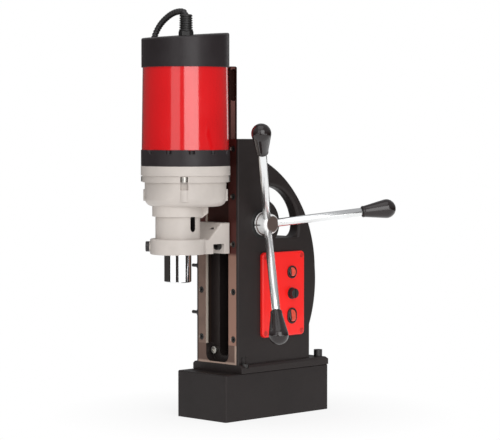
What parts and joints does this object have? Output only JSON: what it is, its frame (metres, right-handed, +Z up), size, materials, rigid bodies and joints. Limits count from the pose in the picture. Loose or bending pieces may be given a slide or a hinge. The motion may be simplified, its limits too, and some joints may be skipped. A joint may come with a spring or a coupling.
{
  "type": "magnetic drill press",
  "caption": "Magnet-based drill press with a red motor, geared spindle, sliding carriage and three-armed feed crank.",
  "frame": {"origin": "middle of the magnet's underside, on the plate the machine grips", "axes": "+Z up along the spindle and the slide, +X towards the crank and the switch panel, -Y towards the drilling side"},
  "size_m": [0.2107, 0.2765, 0.4646],
  "materials": {
    "charcoal_paint": "satin powder coat, fine orange peel",
    "magnet_paint": "satin powder coat on a ground steel block",
    "copper_winding": "varnished copper winding",
    "resin": "cast potting resin",
    "bronze": "scraped bronze gib strip",
    "zinc_steel": "zinc plated screws",
    "black_oxide": "black oxide steel",
    "panel_red": "satin red paint",
    "black_plastic": "moulded black plastic",
    "red_lens": "glossy red translucent rocker",
    "board_green": "printed board with potted modules",
    "chrome": "polished chrome plate",
    "shaft_steel": "ground steel",
    "grip_black": "glossy moulded dark grip",
    "slide_steel": "oiled dark machined steel",
    "gearbox_grey": "as-cast aluminium",
    "motor_red": "glossy red paint",
    "cap_black": "satin black",
    "lamination": "laminated steel stack",
    "carbon": "pressed carbon",
    "lead_sheath": "ribbed black conduit"
  },
  "bodies": {
    "frame": {"magnet_housing": "magnet_paint", "magnet_coil": "copper_winding", "magnet_potting": "resin", "frame_casting": "charcoal_paint", "left_gib_strip": "bronze", "right_gib_strip": "bronze", "gib_strip_screws": "black_oxide", "gib_adjuster_screws": "black_oxide", "magnet_bolts": "black_oxide", "slide_stop_screw": "zinc_steel", "control_panel": "panel_red", "panel_screws": "zinc_steel", "motor_switch_housing": "black_plastic", "magnet_switch_housing": "black_plastic", "fuse_holder": "black_plastic", "control_board": "board_green", "mains_gland": "black_plastic", "lead_gland": "black_plastic", "feed_bush_right": "black_oxide", "feed_bush_left": "bronze"},
    "crank": {"feed_pinion_shaft": "shaft_steel", "crank_hub": "chrome", "crank_arm_1": "chrome", "crank_arm_2": "chrome", "crank_arm_3": "chrome", "crank_grip_1": "grip_black", "crank_grip_2": "grip_black", "crank_grip_3": "grip_black", "feed_shaft_screws": "zinc_steel"},
    "carriage": {"slide_bar": "slide_steel", "feed_rack": "shaft_steel", "slide_screws": "black_oxide", "mount_bracket": "gearbox_grey", "bracket_set_screw": "black_oxide", "gearbox_housing": "gearbox_grey", "gear_plate": "gearbox_grey", "motor_screws": "zinc_steel", "vent_ring": "cap_black", "motor_housing": "motor_red", "stator_core": "lamination", "field_coils": "copper_winding", "brush_holders": "bronze", "carbon_brushes": "carbon", "top_cap": "cap_black", "cap_gland": "black_plastic", "shaft_bearings": "shaft_steel", "motor_lead": "lead_sheath"},
    "armature": {"armature_shaft": "shaft_steel", "armature_core": "lamination", "commutator": "copper_winding", "cooling_fan": "black_plastic"},
    "intermediate": {"intermediate_shaft": "shaft_steel", "intermediate_gear": "shaft_steel"},
    "spindle": {"spindle": "chrome", "spindle_gear": "shaft_steel", "arbor_set_screws": "black_oxide"},
    "motor_rocker": {"motor_rocker": "red_lens"},
    "magnet_rocker": {"magnet_rocker": "red_lens"},
    "fuse_cap": {"fuse_cap": "black_plastic"}
  },
  "joints": [
    {"name": "carriage_slide", "type": "slide", "parent": "frame", "child": "carriage", "axis": [0, 0, 1], "range_m": [-0.107, 0.01], "deforming": ["motor_lead"]},
    {"name": "feed_turn", "type": "hinge", "parent": "frame", "child": "crank", "pos_m": [0, -0.0205, 0.2215], "axis": [1, 0, 0], "range_deg": [-40, 412]},
    {"name": "armature_turn", "type": "hinge", "parent": "carriage", "child": "armature", "pos_m": [0, -0.108, 0.34], "axis": [0, 0, 1], "continuous": true},
    {"name": "intermediate_turn", "type": "hinge", "parent": "carriage", "child": "intermediate", "pos_m": [0.01342, -0.09317, 0.265], "axis": [0, 0, 1], "continuous": true},
    {"name": "spindle_turn", "type": "hinge", "parent": "carriage", "child": "spindle", "pos_m": [0, -0.12, 0.2], "axis": [0, 0, 1], "continuous": true},
    {"name": "motor_rocker_tilt", "type": "hinge", "parent": "frame", "child": "motor_rocker", "pos_m": [0.0368, 0.024, 0.1644], "axis": [0, 1, 0], "range_deg": [0, 16]},
    {"name": "magnet_rocker_tilt", "type": "hinge", "parent": "frame", "child": "magnet_rocker", "pos_m": [0.0368, 0.024, 0.1139], "axis": [0, 1, 0], "range_deg": [0, 16]},
    {"name": "fuse_cap_turn", "type": "hinge", "parent": "frame", "child": "fuse_cap", "pos_m": [0.0395, 0.024, 0.1399], "axis": [1, 0, 0], "range_deg": [0, 90]}
  ],
  "couplings": [
    {"joint": "feed_turn", "follows": "carriage_slide", "rad_per_m": -66.667},
    {"joint": "intermediate_turn", "follows": "armature_turn", "ratio": -0.25},
    {"joint": "spindle_turn", "follows": "armature_turn", "ratio": 0.074324}
  ]
}
